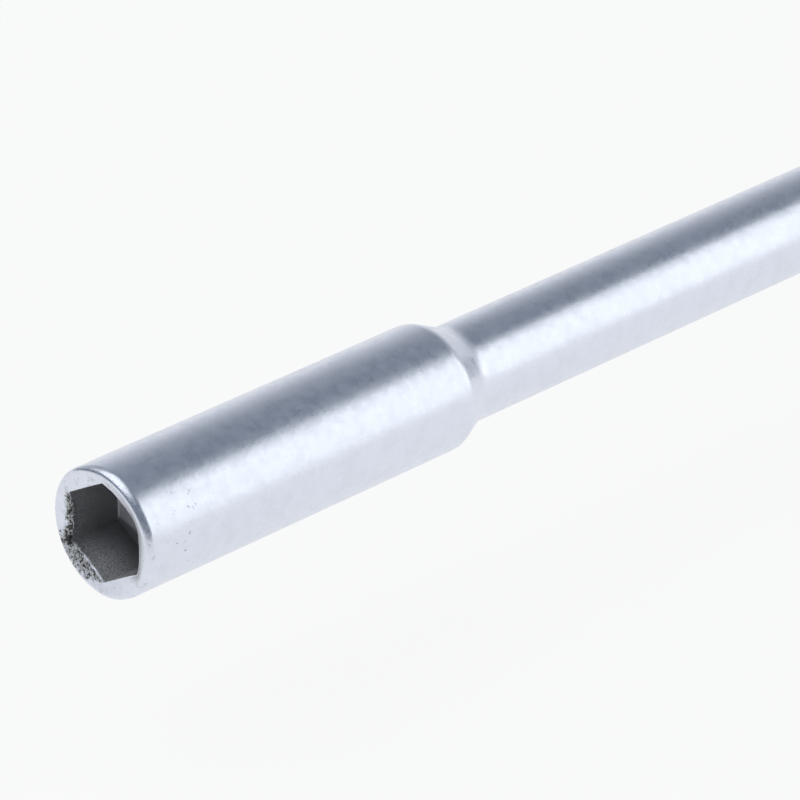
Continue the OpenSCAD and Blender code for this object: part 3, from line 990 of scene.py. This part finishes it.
class BuildBand(bpy.types.Operator):
    """Build the conical size band on the nose and the blank disc in the cap"""

    bl_idname = "nut_driver.band"
    bl_label = "Size band and disc"

    def execute(self, context):
        sizes = context.scene.driver_handle
        h = millimetre_sizes(sizes)
        material = grey_plastic(sizes)
        bore = h.nose_r + h.fit
        profile = filleted([(RING_LOW[0], bore, 0.2), (RING_LOW[0], h.band_front_r, 0.45),
                            (RING_HIGH[0], RING_HIGH[1], 0.35), (RING_HIGH[0], bore, 0.1)])
        points, faces = looped(profile, h.segments)
        rubbed = smoothstep(0.5, 0.1, np.minimum(points[:, 0] - RING_LOW[0], RING_HIGH[0] - points[:, 0]))
        piece("size_band", points, faces, material, "size_ring", {"edge": rubbed}, sharp=35)
        radius = PLUG_HIGH[1]
        dish = [(PLUG_HIGH[0] - DISC_DISH * (1 - (r / (radius - 1.0)) ** 2) ** 2, r)
                for r in np.linspace(radius - 1.0, DISC_POLE_R, 12)]
        rings = list(filleted([(PLUG_LOW[0], DISC_POLE_R), (PLUG_LOW[0], radius, 0.15),
                               (PLUG_HIGH[0], radius, 0.4), (PLUG_HIGH[0], radius - 0.9)])) + dish
        theta = turns(h.segments)
        points, faces = skinned([around(theta, x, r) for x, r in rings], (PLUG_LOW[0], 0, 0),
                                (PLUG_HIGH[0] - DISC_DISH, 0, 0))
        rubbed = smoothstep(radius - 0.9, radius - 0.3, np.hypot(points[:, 1], points[:, 2]))
        piece("cap_disc", points, faces, material, "cap_plug", {"edge": rubbed}, sharp=35)
        return {"FINISHED"}


class BuildGrip(bpy.types.Operator):
    """Build the soft grip: the grooved neck grip and six grooved ribs"""

    bl_idname = "nut_driver.grip"
    bl_label = "Soft grip"

    def execute(self, context):
        sizes = context.scene.driver_grip
        g, h = millimetre_sizes(sizes), millimetre_sizes(context.scene.driver_handle)
        material = soft_rubber(sizes)
        points, faces, marks = neck_shape(g, h)
        piece("neck_grip", points, faces, material, "neck_sleeve", marks, sharp=50)
        for k in range(6):
            node = f"grip_insert_{k + 1}"
            low, high = at_mm(node)
            turn = round(math.atan2(low[1] + high[1], low[2] + high[2]) / HEX) * HEX
            points, faces, marks = rib_shape(g, h, turn)
            rib = piece(f"grip_rib_{k + 1}", points, faces, material, node, marks, sharp=50)
            outward(rib.data, join=1e-6)
        return {"FINISHED"}


class BuildCap(bpy.types.Operator):
    """Build the six-sided cap with its hanging hole"""

    bl_idname = "nut_driver.cap"
    bl_label = "Hanging cap"

    def execute(self, context):
        sizes = context.scene.driver_handle
        h = millimetre_sizes(sizes)
        points, faces = drilled(*cap_shape(h), hole_shape(h))
        marks = {"edge": rubbed_corners(points, CAP_LOW[0] + h.cap_flare - 2, CAP_HIGH[0], h.corner_r)}
        material = bpy.data.objects["handle_body"].active_material
        piece("hang_cap", points, faces, material, "end_cap", marks, sharp=35)
        return {"FINISHED"}


def lamp(name, direction, distance, size, radiance, tint):
    """A soft lamp, with its size in metres, that looks at its aim from a direction."""
    light = bpy.data.lights.new(name, "AREA")
    light.shape = "RECTANGLE"
    light.size, light.size_y = size
    light.energy = radiance * math.pi * size[0] * size[1]
    light.color = tint
    made = placed(name, light)
    direction = Vector(direction).normalized()
    made.location = Vector(LAMP_AIM) + direction * distance
    made.rotation_euler = direction.to_track_quat("Z", "Y").to_euler()
    made.visible_camera = False


def grey_room(sizes):
    """A grey room with a pale wall behind the part, which fades upward."""
    world = bpy.data.worlds.new("room")
    world.use_nodes = True
    p = Paint(world.node_tree)
    toward = p.node("ShaderNodeTexCoord", out="Generated")
    height = p.node("ShaderNodeSeparateXYZ", {}, {0: toward}, "Z")
    behind = p.node("ShaderNodeVectorMath", {"operation": "DOT_PRODUCT"},
                    {0: toward, 1: WALL_TOWARD}, "Value").smooth(0.2, 0.65)
    fade = height.math("MINIMUM", 1.0, height.math("MAXIMUM", 0.0, 1 - height * 1.35))
    glow = p.node("ShaderNodeBackground", {},
                  {"Color": p.mix(fade * behind, sizes.room, sizes.wall), "Strength": 1.0})
    p.node("ShaderNodeOutputWorld", {}, {"Surface": glow})
    return world


def turned_camera(sizes):
    """A camera at its place, turned by azimuth and elevation."""
    data = bpy.data.cameras.new("camera")
    data.lens = sizes.lens
    data.clip_start, data.clip_end = 0.01, 50.0
    camera = placed("camera", data)
    level = math.cos(sizes.elevation)
    back = Vector((math.sin(sizes.azimuth) * level, -math.cos(sizes.azimuth) * level,
                   math.sin(sizes.elevation)))
    camera.location = sizes.camera_at
    camera.rotation_euler = (-back).to_track_quat("-Z", "Y").to_euler()
    return camera


class BuildStage(bpy.types.Operator):
    """Set up the floor, the lamps, the room and the camera"""

    bl_idname = "nut_driver.stage"
    bl_label = "Stage"

    def execute(self, context):
        scene, sizes = context.scene, context.scene.driver_stage
        mesh = bpy.data.meshes.new("floor")
        signs = ((-1, -1), (1, -1), (1, 1), (-1, 1))
        corners = [(x * FLOOR_HALF, y * FLOOR_HALF, FLOOR_MM * MM) for x, y in signs]
        mesh.from_pydata(corners, [], [(0, 1, 2, 3)])
        mesh.materials.append(pale_floor(sizes))
        floor = placed("floor", mesh)
        lamp("side_softbox", direction=(0.6495, -0.6473, 0.399), distance=0.8,
             size=(0.736, 0.72), radiance=1.09, tint=(1.0, 1.0, 0.96))
        lamp("front_softbox", direction=(-0.3, 0.24, 0.92), distance=0.9,
             size=(0.96, 1.0), radiance=1.15, tint=(1.0, 1.0, 1.0))
        scene.world = grey_room(sizes)
        scene.camera = turned_camera(sizes)
        scene.view_settings.view_transform = "Standard"
        return {"FINISHED"}


class DriverPanel(bpy.types.Panel):
    """Lists the pieces of the nut driver"""

    bl_idname = "VIEW3D_PT_nut_driver"
    bl_label = "Nut Driver"
    bl_space_type = "VIEW_3D"
    bl_region_type = "UI"
    bl_category = "Nut Driver"

    def draw(self, context):
        for operator in OPERATORS:
            self.layout.operator(operator.bl_idname)


GROUPS = {"driver_blade": BladeSizes, "driver_handle": HandleSizes, "driver_grip": GripSizes,
          "driver_stage": StageSizes}
OPERATORS = (BuildBlade, BuildBody, BuildBand, BuildGrip, BuildCap, BuildStage)


def register():
    for cls in (*GROUPS.values(), *OPERATORS, DriverPanel):
        bpy.utils.register_class(cls)
    for name, group in GROUPS.items():
        setattr(bpy.types.Scene, name, PointerProperty(type=group))


def unregister():
    for name in GROUPS:
        delattr(bpy.types.Scene, name)
    for cls in (DriverPanel, *reversed(OPERATORS), *reversed(GROUPS.values())):
        bpy.utils.unregister_class(cls)


def main():
    register()
    bpy.ops.nut_driver.blade()
    bpy.ops.nut_driver.body()
    bpy.ops.nut_driver.band()
    bpy.ops.nut_driver.grip()
    bpy.ops.nut_driver.cap()
    bpy.ops.nut_driver.stage()


if __name__ == "__main__":
    main()
